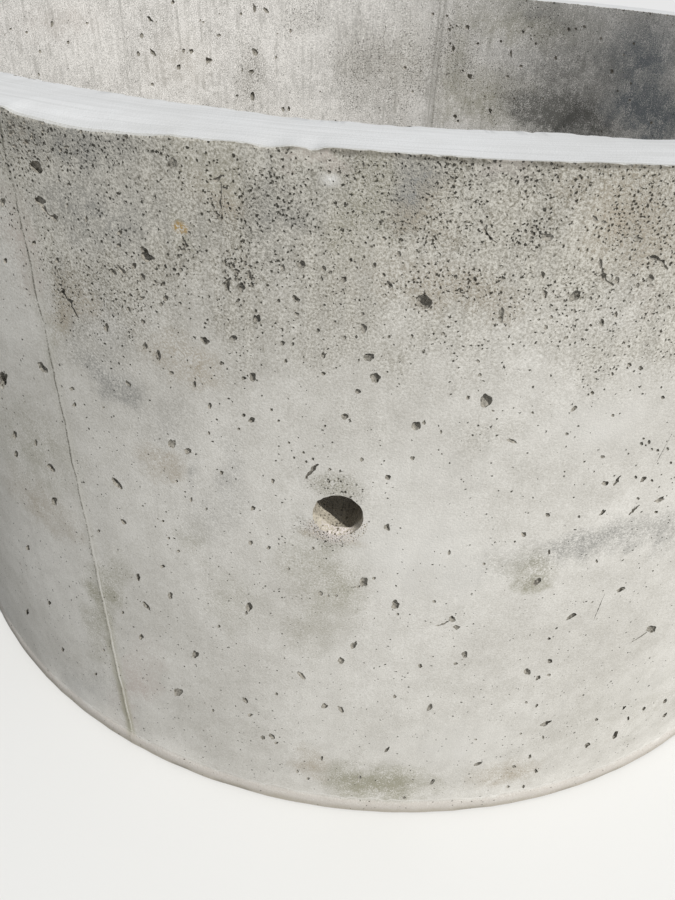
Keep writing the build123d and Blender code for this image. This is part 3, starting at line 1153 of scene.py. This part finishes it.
def jointTraceGroup():
    # A line down the wall where two plates of the mould met, the burr and the stained strip beside it
    group, given, result = newGroup("jointTrace", {
        "Place": ("Vector", (0, 0, 0)), "Side": ("Vector", (1, 0, 0)), "Outwards": ("Vector", (0, -1, 0)),
        "Line width": ("Float", 0.0011), "Strip width": ("Float", 0.011), "Raggedness": ("Float", 0.5),
    }, {"Line": "Float", "Burr": "Float", "Strip": "Float"})
    aside = vectors(group, "DOT_PRODUCT", given["Place"], given["Side"])
    onThisHalf = vectors(group, "DOT_PRODUCT", given["Place"], given["Outwards"])
    onThisHalf = sums(group, "GREATER_THAN", onThisHalf, 0.0)
    wander = sums(group, "SUBTRACT", given["Raggedness"], 0.5)
    lineAside = timesPlus(group, wander, jointShape["lineWander"], aside)
    burrAside = sums(group, "ADD", lineAside, -jointShape["burrAside"])
    stripAside = timesPlus(group, wander, jointShape["stripWander"], aside)
    marks = {
        "Line": (lineAside, "Line width", 0.4, 1.3),
        "Burr": (burrAside, "Line width", 0.4, 1.5),
        "Strip": (stripAside, "Strip width", 0.2, 1.2),
    }
    for name, (away, width, full, end) in marks.items():
        share = sums(group, "DIVIDE", sums(group, "ABSOLUTE", away), given[width])
        mark = fade(group, share, full, end, 1.0, 0.0)
        group.links.new(times(group, mark, onThisHalf), result[name])
    return group


cementMottle = cementMottleGroup()
pitField = pitFieldGroup()
softSpot = softSpotGroup()
leanSpot = leanSpotGroup()
runMarks = runMarksGroup()
jointTrace = jointTraceGroup()


class Finish:
    # A material of the ring in the making: its nodes, the place on the ring and the colour so far
    def __init__(self, material, inside=False):
        material.use_nodes = True
        self.inside = inside
        self.tree = material.node_tree
        self.shader = self.tree.nodes["Principled BSDF"]
        self.place = self.tree.nodes.new("ShaderNodeTexCoord").outputs["Object"]
        self.parts, self.fromAxis = ringParts(self.tree, self.place)

    def mottled(self, pale, dark, contrast):
        inputs = {"Place": self.place, "Pale": pale, "Dark": dark, "Grain contrast": contrast}
        made = useGroup(self.tree, cementMottle, inputs)
        self.colour, self.grain, self.blotch = made["Colour"], made["Grain"], made["Blotch"]

    def paint(self, amount, tint, mode="MIX"):
        self.colour = blend(self.tree, amount, self.colour, tint, mode)

    def pits(self, spacing, size, share, **more):
        inputs = {"Place": self.place, "Spacing": spacing, "Size": size, "Share": share, **more}
        return useGroup(self.tree, pitField, inputs)["Mask"]

    def feed(self, relief, distance, strength, roughness):
        tree, shader = self.tree, self.shader
        inputs = {"Height": relief, "Distance": distance, "Strength": strength}
        tree.links.new(put(tree, "ShaderNodeBump", inputs).outputs[0], shader.inputs["Normal"])
        tree.links.new(self.colour, shader.inputs["Base Color"])
        if isinstance(roughness, bpy.types.NodeSocket):
            tree.links.new(roughness, shader.inputs["Roughness"])
        else:
            shader.inputs["Roughness"].default_value = roughness


stainColours = {
    "olive": (0.345, 0.33, 0.257, 1),
    "tan": (0.42, 0.37, 0.295, 1),
    "pink": (0.56, 0.50, 0.455, 1),
    "grey": (0.31, 0.305, 0.285, 1),
    "chalk": (0.80, 0.79, 0.765, 1),
    "crumb": (0.70, 0.64, 0.605, 1),
    # The next two colours darken the shaded right side of the inner wall: the first partly a damp stain and
    # partly painted shade, the second a bluish painted shade
    "dampAndShade": (0.17, 0.168, 0.155, 1),
    "bluishShade": (0.19, 0.21, 0.225, 1),
    "rust": (0.42, 0.27, 0.085, 1),
}

# Stains of each colour: pixel across and down, width and height in pixels, strength, and how far it leans
wallStains = {
    "olive": [
        (186, 240, 18, 20, 0.8), (322, 578, 110, 90, 0.65), (315, 625, 100, 90, 0.3),
        (350, 545, 76, 34, 0.45), (30, 450, 90, 110, 0.45), (195, 545, 44, 56, 0.35),
        (230, 600, 80, 64, 0.35), (377, 784, 140, 44, 1.6), (106, 612, 34, 130, 0.7, 0.35),
        (213, 165, 80, 80, 0.4), (352, 205, 90, 150, 0.6), (60, 330, 46, 110, 0.55, 0.3),
        (645, 700, 120, 80, 0.25), (520, 570, 90, 44, 1.0, -0.2), (100, 590, 30, 90, 0.5, 0.3),
    ],
    "tan": [
        (425, 205, 90, 80, 0.9), (635, 222, 150, 140, 0.75), (560, 190, 80, 80, 0.35),
        (440, 288, 200, 70, 0.65, 0.25), (70, 315, 54, 84, 0.9, 0.4), (155, 458, 56, 40, 0.6),
        (188, 366, 110, 50, 0.8, 0.6), (220, 195, 50, 74, 0.7), (40, 505, 84, 54, 0.6),
        (315, 765, 54, 42, 0.8), (513, 775, 84, 32, 0.8, -0.2),
    ],
    "pink": [
        (300, 160, 60, 30, 0.7), (505, 175, 50, 40, 0.6), (15, 240, 60, 110, 0.8),
        (132, 690, 40, 110, 0.9, 0.2), (640, 300, 60, 40, 0.3),
    ],
    "grey": [
        (80, 140, 230, 80, 0.75, 0.3), (100, 215, 230, 90, 0.7, 0.3), (265, 215, 70, 150, 0.5),
        (104, 378, 100, 28, 0.7, 1.0), (120, 380, 40, 56, 0.45), (240, 480, 32, 110, 0.35),
        (568, 550, 290, 44, 0.4, -0.3), (592, 542, 90, 46, 0.5), (655, 536, 90, 46, 0.5, -0.3),
        (505, 180, 80, 50, 0.35), (420, 185, 90, 70, 1.1), (208, 520, 80, 90, 0.25),
        (165, 425, 110, 80, 0.22), (90, 690, 90, 60, 0.35, 0.5), (190, 470, 34, 30, 0.5),
        (100, 335, 90, 60, 0.3), (300, 205, 60, 60, 0.4),
    ],
    "chalk": [
        (600, 430, 140, 90, 0.35), (440, 470, 160, 160, 0.15), (420, 560, 200, 120, 0.35),
        (90, 698, 76, 40, 0.3, 0.6), (450, 745, 160, 60, 0.3), (640, 690, 90, 60, 0.2),
    ],
}

# The same on the inner wall across the ring, and small marks with firmer places
farStains = {
    "olive": [
        (490, 100, 120, 80, 0.8), (530, 20, 150, 70, 0.9), (455, 60, 40, 150, 0.4),
        (410, 50, 50, 140, 0.15),
    ],
    "tan": [(390, 60, 150, 140, 0.1), (180, 60, 90, 80, 0.2)],
    "pink": [(60, 20, 120, 50, 0.3)],
    "grey": [(600, 60, 160, 100, 0.6), (330, 90, 150, 60, 0.25), (545, 10, 140, 50, 1.0)],
    # Partly damp stains, partly painted shade: darker and bluish where the inner wall's right side lies in
    # shadow
    "dampAndShade": [(560, 80, 150, 130, 0.7), (560, 118, 150, 60, 1.8)],
    "bluishShade": [(650, 115, 120, 70, 1.7), (645, 60, 100, 100, 1.0)],
}
smallMarks = {
    "olive": [(180, 240, 24, 30, 0.7), (335, 486, 66, 30, 0.6)],
    "tan": [(310, 534, 30, 12, 0.7, 0.4), (354, 544, 40, 10, 0.4)],
    "chalk": [(328, 180, 26, 20, 0.9)],
    "crumb": [(336, 535, 58, 20, 1.1), (316, 526, 18, 18, 0.8), (362, 525, 16, 20, 0.8)],
    "rust": [(180, 229, 18, 14, 2.0, 0.3)],
}

# Places where the wall is rough with black pin holes
pepper = [
    (425, 195, 120, 120, 2.0), (405, 225, 70, 60, 0.8), (655, 215, 110, 130, 1.3),
    (570, 190, 130, 70, 0.9, -0.3), (500, 178, 130, 70, 0.9), (20, 135, 100, 80, 1.3, 0.3),
    (85, 142, 170, 56, 1.2, 0.25), (160, 160, 70, 70, 0.5), (258, 195, 70, 100, 1.0),
    (335, 162, 70, 56, 1.1), (372, 178, 70, 70, 0.7), (445, 288, 180, 66, 1.0, 0.2),
    (240, 270, 70, 66, 0.7), (225, 215, 70, 90, 0.8), (105, 300, 130, 110, 0.6, 0.4),
    (68, 300, 34, 70, 0.9, 0.4), (540, 232, 70, 36, 0.8), (610, 300, 150, 70, 0.35),
    (338, 534, 66, 26, 1.5), (335, 488, 70, 34, 0.8), (300, 195, 70, 70, 0.55), (350, 210, 80, 90, 0.8),
    (600, 175, 90, 40, 0.5),
]
farPepper = [
    (355, 70, 70, 100, 0.9), (250, 75, 40, 90, 0.8), (400, 70, 90, 120, 0.7), (455, 60, 80, 110, 0.9),
    (500, 95, 80, 70, 0.8), (300, 20, 80, 40, 0.5), (540, 20, 90, 50, 0.6),
]
lipSpot = (338, 533, 62, 30, 1.3)    # the crumbling lip inside the hole's mouth
faceDepth = 0.15      # metres to each side of the wall that a stain reaches


def flatPlace(point, far=False):
    # The wall laid flat: metres along it from the front, or from the back inside, and metres up
    if far:
        return Vector((math.atan2(point.x, point.y) * innerRadius, point.z, 0))
    return Vector((math.atan2(point.x, -point.y) * outerRadius, point.z, 0))


def unroll(coat, along=0.0, up=0.0):
    # The same in nodes; the third value is metres out of the wall
    tree, (x, y, z) = coat.tree, coat.parts
    turn = sums(tree, "ARCTAN2", x, y if coat.inside else times(tree, y, -1.0))
    radius = innerRadius if coat.inside else outerRadius
    out = sums(tree, "SUBTRACT", coat.fromAxis, radius)
    return combine(tree, timesPlus(tree, turn, radius, along), sums(tree, "ADD", z, up), out)


def spotMask(coat, place, spots):
    mask = 0.0
    for x, y, wide, high, strength, *leans in spots:
        lean = leans[0] if leans else 0.0
        patch = Patch(x, y, wide, high, lean, coat.inside)
        centre = flatPlace(patch.place, coat.inside)
        inputs = {"Place": place, "Centre": centre, "Strength": strength, "Before": mask}
        if lean:
            a = flatPlace(patch.place + patch.along, coat.inside) - centre
            b = flatPlace(patch.place + patch.across, coat.inside) - centre
            area = a.x * b.y - a.y * b.x
            inputs["Along"] = (b.y / area, -b.x / area, 0)
            inputs["Across"] = (-a.y / area, a.x / area, 0)
            mask = useGroup(coat.tree, leanSpot, inputs)["Mask"]
        else:
            inputs["Reach"] = (patch.along.length, patch.across.length, faceDepth)
            mask = useGroup(coat.tree, softSpot, inputs)["Mask"]
    return mask


def paintStains(coat, place, stains):
    # One mask for each colour, to which its spots are added
    for paint, tint in stainColours.items():
        if paint in stains:
            coat.paint(times(coat.tree, spotMask(coat, place, stains[paint]), coat.patchy), tint)


castFinish = {
    "wallPale": (0.74, 0.72, 0.675, 1),
    "wallDark": (0.52, 0.50, 0.455, 1),
    "topPale": (0.70, 0.707, 0.715, 1),
    "topDark": (0.62, 0.622, 0.62, 1),
    "insidePale": (0.75, 0.73, 0.70, 1),
    "insideDark": (0.49, 0.475, 0.45, 1),
    "bandTint": (0.80, 0.79, 0.755, 1),
    "runTint": (0.30, 0.29, 0.265, 1),
    "streakTint": (0.47, 0.475, 0.47, 1),
    "pepperTint": (0.28, 0.265, 0.225, 1),
    # Darkens the band just under the top's outer edge: partly grime, partly painted shade
    "lipGrimeAndShade": (0.46, 0.45, 0.43, 1),
    # Darkens the pin holes: painted shade inside them
    "pitShadeTint": (0.13, 0.125, 0.11, 1),
    "lineTint": (0.20, 0.19, 0.16, 1),
    "stripTint": (0.42, 0.40, 0.30, 1),
    "burrTint": (0.74, 0.72, 0.68, 1),
    "footTint": (0.53, 0.49, 0.445, 1),
    "baseTint": (0.40, 0.36, 0.29, 1),
    "insideJoints": (176.7, 175.8, -3.4),   # degrees, where plates of the inner mould met
    "bandHeights": (0.78, 0.95),            # metres up, where the porous band begins and is full
    "bandWander": 0.24,
    "stripHeights": (0.04, 0.40),           # between which the strip beside the fin fades out
    "lineHeights": (0.40, 0.56),            # between which its line gets stronger and its burr weaker
    "footHeights": (0.030, 0.038),          # the tan strip of the foot ends between them
    "footLine": 0.0385,
    "baseHeights": (0.010, 0.026),
    "pepperShare": 0.42,                    # how dark the rough places are
    "grainDepth": 1.1 * mm,
}


def driftBy(tree, source, reach):
    # Metres to either side, up to half the reach
    return timesPlus(tree, source, reach, -reach / 2)


def findFaces(coat):
    # Where the outer wall, the top face and the porous band under the rim are
    tree = coat.tree
    coat.outerSide = sums(tree, "GREATER_THAN", coat.fromAxis, outerRadius - 4 * mm)
    normal = tree.nodes.new("ShaderNodeNewGeometry").outputs["True Normal"]
    coat.topFace = sums(tree, "GREATER_THAN", separate(tree, normal)[2], 0.78)
    coat.onWall = sums(tree, "SUBTRACT", 1.0, coat.topFace)
    edgeHeight = timesPlus(tree, coat.slow, castFinish["bandWander"], coat.parts[2])
    coat.band = times(tree, fade(tree, edgeHeight, *castFinish["bandHeights"]), coat.outerSide)


def paintCement(coat):
    # The grain is stronger where the wall is porous, and weaker on the floated top
    tree = coat.tree
    if coat.inside:
        contrast = timesPlus(tree, coat.rough, 7.0, 5.6)
        coat.mottled(castFinish["insidePale"], castFinish["insideDark"], contrast)
    else:
        pale = blend(tree, coat.topFace, castFinish["wallPale"], castFinish["topPale"])
        dark = blend(tree, coat.topFace, castFinish["wallDark"], castFinish["topDark"])
        contrast = timesPlus(tree, coat.rough, 5.5, timesPlus(tree, coat.band, 4.6, 1.6))
        coat.mottled(pale, dark, timesPlus(tree, coat.topFace, -1.1, contrast))
    patchy = timesPlus(tree, coat.grain, 3.2, timesPlus(tree, coat.ragged, 1.2, -1.65))
    patchy = sums(tree, "MAXIMUM", timesPlus(tree, coat.blotch, 0.5, patchy), 0.0)
    coat.patchy = patchy if coat.inside else times(tree, patchy, coat.onWall)


def paintBand(coat):
    # The porous band under the rim and other rough places, and upright streaks
    tree = coat.tree
    if not coat.inside:
        coat.paint(coat.band, castFinish["bandTint"], "MULTIPLY")
    coat.paint(times(tree, coat.rough, castFinish["pepperShare"]), castFinish["pepperTint"])
    runs = useGroup(tree, runMarks, {"Place": coat.place, "Fineness": 110.0, "Flatten": 0.07})["Mask"]
    if coat.inside:
        amount = fade(tree, coat.ragged, 0.40, 0.66, 0.05, 0.50)
    else:
        amount = times(tree, coat.onWall, timesPlus(tree, coat.band, 0.14, 0.05))
    coat.paint(times(tree, runs, amount), castFinish["runTint"])


def paintTop(coat):
    # The floated top: faint streaks round the ring, and a dark crest line just under its outer edge, partly
    # grime and partly painted shade
    tree, (x, y, z) = coat.tree, coat.parts
    roundRing = combine(tree, times(tree, coat.fromAxis, 300.0), times(tree, x, 7.0), times(tree, y, 7.0))
    streaks = fade(tree, cloud(tree, roundRing, 1.0, 1.0), 0.35, 0.7, 0.0, 0.3)
    coat.paint(times(tree, streaks, coat.topFace), castFinish["streakTint"])
    # Partly grime, partly painted shade: a darker band just under the worn outer edge
    crest = fade(tree, timesPlus(tree, coat.ragged, 0.006, z), height - 3 * mm, height + 0.5 * mm)
    crest = times(tree, crest, times(tree, coat.outerSide, coat.onWall))
    coat.paint(crest, castFinish["lipGrimeAndShade"], "MULTIPLY")


def traceJoint(coat, degrees, widths):
    return useGroup(coat.tree, jointTrace, {
        "Place": coat.place, "Side": atAngle(degrees + 90, 1.0), "Outwards": atAngle(degrees, 1.0),
        "Raggedness": coat.ragged, **widths})


def paintInnerJoints(coat):
    tree = coat.tree
    for degrees in castFinish["insideJoints"]:
        trace = traceJoint(coat, degrees, {"Line width": 0.0028, "Strip width": 0.008})
        line = timesPlus(tree, trace["Line"], 0.28, times(tree, trace["Strip"], 0.14))
        coat.paint(line, castFinish["lineTint"])


def paintSeams(coat):
    # Dark line, pale burr and stained strip of each fin
    tree, z = coat.tree, coat.parts[2]
    upper = fade(tree, timesPlus(tree, coat.ragged, 0.12, z), *castFinish["lineHeights"])
    for degrees in seam["angles"]:
        trace = traceJoint(coat, degrees, {})
        strip = times(tree, trace["Strip"], fade(tree, z, *castFinish["stripHeights"], 0.85, 0.10))
        coat.paint(times(tree, strip, coat.outerSide), castFinish["stripTint"])
        line = times(tree, trace["Line"], timesPlus(tree, upper, 0.45, 0.60))
        coat.paint(times(tree, line, coat.broken), castFinish["lineTint"])
        burr = times(tree, trace["Burr"], timesPlus(tree, upper, -0.6, 0.8))
        coat.paint(times(tree, burr, coat.broken), castFinish["burrTint"])


def paintFoot(coat):
    # The foot: a tan strip under a broken pale line, and darker at the base
    tree = coat.tree
    edge = timesPlus(tree, coat.ragged, 0.012, timesPlus(tree, coat.blotch, 0.006, coat.parts[2]))
    if not coat.inside:
        amount = fade(tree, edge, *castFinish["footHeights"], 0.8, 0.0)
        coat.paint(times(tree, amount, timesPlus(tree, coat.patchy, 0.5, 0.5)), castFinish["footTint"])
        away = sums(tree, "ABSOLUTE", sums(tree, "SUBTRACT", edge, castFinish["footLine"]))
        line = fade(tree, away, 0.4 * mm, 1.7 * mm, 0.7, 0.0)
        coat.paint(times(tree, line, coat.broken), castFinish["burrTint"])
    coat.paint(fade(tree, edge, *castFinish["baseHeights"], 0.7, 0.0), castFinish["baseTint"])


def paintPits(coat):
    # Pin holes, most in the band and the rough places, darkened in colour: painted shade inside them
    tree = coat.tree
    least = 0.05 if coat.inside else timesPlus(tree, coat.band, 0.36, 0.05)
    share = timesPlus(tree, coat.rough, 1.1, least)
    share = times(tree, share, fade(tree, coat.ragged, 0.35, 0.62, 0.5, 1.3))
    if not coat.inside:
        share = times(tree, share, coat.onWall)
    coarse = coat.pits(5.6 * mm, 0.20, times(tree, share, 0.62), Grain=coat.grain)
    fine = coat.pits(3.1 * mm, 0.27, share, Grain=coat.grain)
    coat.paint(sums(tree, "MAXIMUM", coarse, fine), castFinish["pitShadeTint"], "MULTIPLY")


def castFinishTree(material, inside):
    coat = Finish(material, inside)
    tree, place = coat.tree, coat.place
    coat.ragged = cloud(tree, place, 26.0, 2.0, 0.75)
    coat.slow = cloud(tree, place, 14.0, 1.0, 0.7)
    rise, shift = driftBy(tree, coat.ragged, 0.08), driftBy(tree, coat.slow, 0.09)
    wall = unroll(coat, shift, rise)
    coat.rough = spotMask(coat, wall, farPepper if inside else pepper)
    if not inside:
        findFaces(coat)
        coat.rough = times(tree, coat.rough, coat.onWall)
    paintCement(coat)
    paintBand(coat)
    if inside:
        paintStains(coat, wall, farStains)
        paintInnerJoints(coat)
    else:
        paintTop(coat)
        paintStains(coat, wall, wallStains)
        still = unroll(coat, times(tree, shift, 0.12), times(tree, rise, 0.10))
        paintStains(coat, still, smallMarks)
        coat.broken = times(tree, coat.patchy, coat.outerSide)
        paintSeams(coat)
    paintFoot(coat)
    paintPits(coat)
    strength = timesPlus(tree, coat.rough, 0.55, 0.32)
    roughness = fade(tree, coat.grain, 0.2, 0.8, 0.82, 0.95)
    coat.feed(grainCloud(tree, place), castFinish["grainDepth"], strength, roughness)


# The skin of the voids and lifting holes is darker and browner than the wall: partly dirt, partly painted
# shade inside them
hollowFinish = {
    "pale": (0.40, 0.375, 0.325, 1),
    "dark": (0.19, 0.18, 0.155, 1),
    "holePale": (0.50, 0.455, 0.37, 1),
    "holeDark": (0.29, 0.265, 0.215, 1),
    # A painted shade on the right side of the lifting holes, deeper in, where they lie in shadow
    "holeShadeTint": (0.62, 0.60, 0.58, 1),
    # Darkens the pin holes of the hollows: painted shade inside them
    "pitShadeTint": (0.42, 0.40, 0.37, 1),
    "holeReach": holeRadius + 9 * mm,    # from its middle
    "holeShadeSide": (-2 * mm, 13 * mm),      # to the right of the hole's middle
    "holeShadeDepth": (7 * mm, 12 * mm),      # in from the outer wall
    "lipDepth": (12 * mm, 6 * mm),
    "roughness": 0.92,
}


def hollowFinishTree():
    coat = Finish(hollowSkin)
    tree, (x, y, z) = coat.tree, coat.parts
    # The lifting holes are paler than the voids, and darker on their right side, a painted shade where they
    # lie in shadow
    upways = sums(tree, "ABSOLUTE", sums(tree, "SUBTRACT", z, holePlace.z))
    away = sums(tree, "MAXIMUM", sums(tree, "ABSOLUTE", x), upways)
    inHole = sums(tree, "LESS_THAN", away, hollowFinish["holeReach"])
    pale = blend(tree, inHole, hollowFinish["pale"], hollowFinish["holePale"])
    dark = blend(tree, inHole, hollowFinish["dark"], hollowFinish["holeDark"])
    coat.mottled(pale, dark, 3.0)
    pits = coat.pits(3.2 * mm, 0.3, 0.5)
    # Painted shade inside the pin holes
    coat.paint(pits, hollowFinish["pitShadeTint"], "MULTIPLY")
    # Painted shade: darkens the hole's right side, deeper in, where it lies in shadow
    deep = fade(tree, coat.fromAxis, *[outerRadius - d for d in hollowFinish["holeShadeDepth"]])
    dampAndShade = times(tree, fade(tree, x, *hollowFinish["holeShadeSide"]), deep)
    coat.paint(times(tree, dampAndShade, inHole), hollowFinish["holeShadeTint"], "MULTIPLY")
    # The crumbling lip
    lip = spotMask(coat, unroll(coat), [lipSpot])
    lip = times(tree, lip, fade(tree, coat.fromAxis, *[outerRadius - d for d in hollowFinish["lipDepth"]]))
    lip = times(tree, lip, fade(tree, coat.grain, 0.44, 0.56))
    coat.paint(times(tree, lip, sums(tree, "SUBTRACT", 1.0, pits)), stainColours["crumb"])
    coat.feed(timesPlus(tree, pits, -0.5, coat.grain), 1 * mm, 1.0, hollowFinish["roughness"])


castFinishTree(castSkin, False)
castFinishTree(insideSkin, True)
hollowFinishTree()
print("finishes made")


# Studio
studio = {
    "sunAround": 49.0,     # degrees round the ring from the lifting hole
    "sunHeight": 42.0,     # degrees above the floor
    "sunStrength": 3.1,
    "sunSoftness": 1.2,    # degrees that the lamp is wide
    "sunColour": (1.0, 0.985, 0.955),
    "skyStrength": 0.45,
    "skyColour": (0.93, 0.96, 1.0, 1),
    "floorHalf": 9.0,      # metres
    "floorShade": (0.34, 0.34, 0.33, 1),    # what the ring sees of the floor
    "floorPale": (0.78, 0.78, 0.77, 1),     # what the camera sees of it
}


def makeFloor():
    mesh = bpy.data.meshes.new("floor")
    half = studio["floorHalf"]
    corners = [(-half, -half, 0), (half, -half, 0), (half, half, 0), (-half, half, 0)]
    mesh.from_pydata(corners, [], [(0, 1, 2, 3)])
    floor = linkObject("floor", mesh)
    material = bpy.data.materials.new("floorPaint")
    material.use_nodes = True
    tree = material.node_tree
    shader = tree.nodes["Principled BSDF"]
    shader.inputs["Roughness"].default_value = 0.9
    toCamera = tree.nodes.new("ShaderNodeLightPath").outputs["Is Camera Ray"]
    paint = blend(tree, toCamera, studio["floorShade"], studio["floorPale"])
    tree.links.new(paint, shader.inputs["Base Color"])
    mesh.materials.append(material)


def makeLight():
    data = bpy.data.lights.new("softSun", "SUN")
    data.energy = studio["sunStrength"]
    data.angle = math.radians(studio["sunSoftness"])
    data.color = studio["sunColour"]
    lamp = linkObject("softSun", data)
    up = math.radians(studio["sunHeight"])
    towards = atAngle(studio["sunAround"], math.cos(up), math.sin(up))
    lamp.matrix_world = towards.to_track_quat("Z", "Y").to_matrix().to_4x4()


def makeRoom():
    # The sky lights the ring, and the camera sees a plain backdrop
    world = bpy.data.worlds.new("paleRoom")
    bpy.context.scene.world = world
    world.use_nodes = True
    tree = world.node_tree
    room = tree.nodes["Background"]
    room.inputs["Color"].default_value = studio["skyColour"]
    room.inputs["Strength"].default_value = studio["skyStrength"]
    toCamera = tree.nodes.new("ShaderNodeLightPath").outputs["Is Camera Ray"]
    backdrop = tree.nodes.new("ShaderNodeBackground").outputs[0]
    mix = put(tree, "ShaderNodeMixShader", {0: toCamera, 1: room.outputs[0], 2: backdrop})
    tree.links.new(mix.outputs[0], tree.nodes["World Output"].inputs["Surface"])


makeFloor()
makeLight()
makeRoom()
bpy.context.scene.view_settings.view_transform = "Standard"
print("studio made")

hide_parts("ring_wall")
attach(ring, "root")
